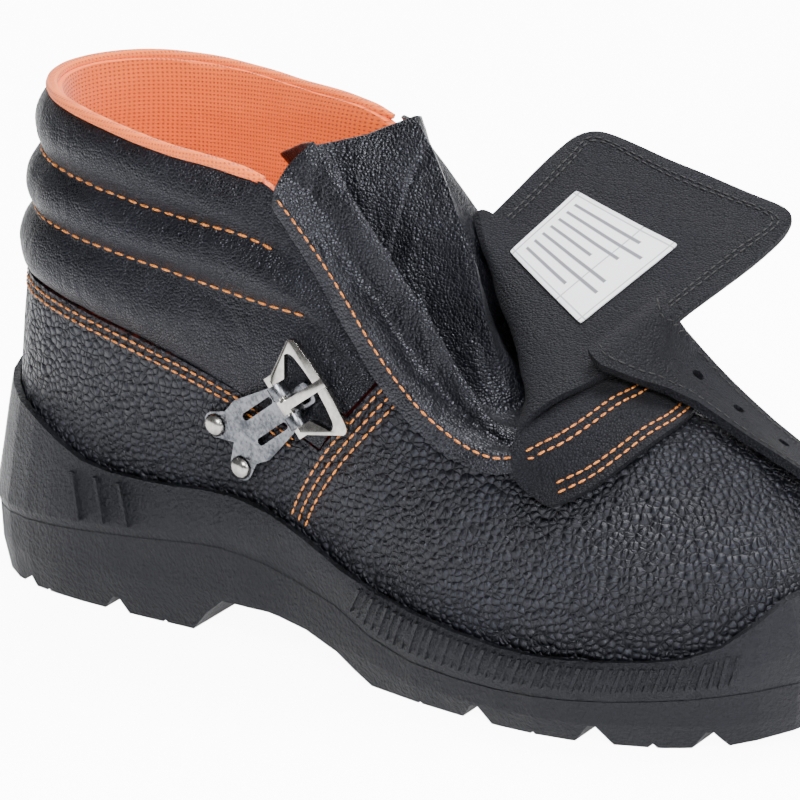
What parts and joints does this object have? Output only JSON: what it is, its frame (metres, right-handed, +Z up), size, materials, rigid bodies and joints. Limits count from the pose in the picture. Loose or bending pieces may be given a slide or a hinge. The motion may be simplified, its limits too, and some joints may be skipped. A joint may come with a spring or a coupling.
{
  "type": "welding safety boot",
  "caption": "Black leather welding boot for the right foot: padded collar, gusset, open flap with buckle strap, and a one-piece moulded sole.",
  "frame": {"origin": "the point on the ground under the middle of the heel", "axes": "+X towards the toe, -Y the outer side of the foot (the buckle's side), +Z up"},
  "size_m": [0.3004, 0.1458, 0.1633],
  "materials": {
    "outsole": "matte",
    "midsole": "matte",
    "grain_leather": "pebbled grain, satin",
    "collar_leather": "smooth, satin",
    "gusset_leather": "smooth, soft",
    "flap_leather": "flesh side out, matte",
    "strap_leather": "flesh side out, matte",
    "insole": "matte mesh",
    "label": "woven, matte",
    "zinc_steel": "zinc plated, dull",
    "rivet_steel": "nickel plated, bright",
    "nickel_steel": "nickel plated, bright"
  },
  "bodies": {
    "root": {"outsole": "outsole", "midsole": "midsole", "upper": "grain_leather", "insole": "insole", "collar": "collar_leather", "gusset": "gusset_leather", "flap": "flap_leather", "strap": "strap_leather", "label": "label", "buckle_plate": "zinc_steel", "rivet_rear": "rivet_steel", "rivet_front": "rivet_steel"},
    "frame": {"buckle_frame": "nickel_steel"},
    "prong": {"buckle_prong": "nickel_steel"}
  },
  "joints": [
    {"name": "frame_hinge", "type": "hinge", "parent": "root", "child": "frame", "pos_m": [0.09008, -0.0485, 0.08403], "axis": [0.6108, -0.0132, -0.7917], "range_deg": [0, 100]},
    {"name": "prong_hinge", "type": "hinge", "parent": "frame", "child": "prong", "pos_m": [0.09008, -0.0485, 0.08403], "axis": [0.6108, -0.0132, -0.7917], "range_deg": [0, 40]}
  ]
}
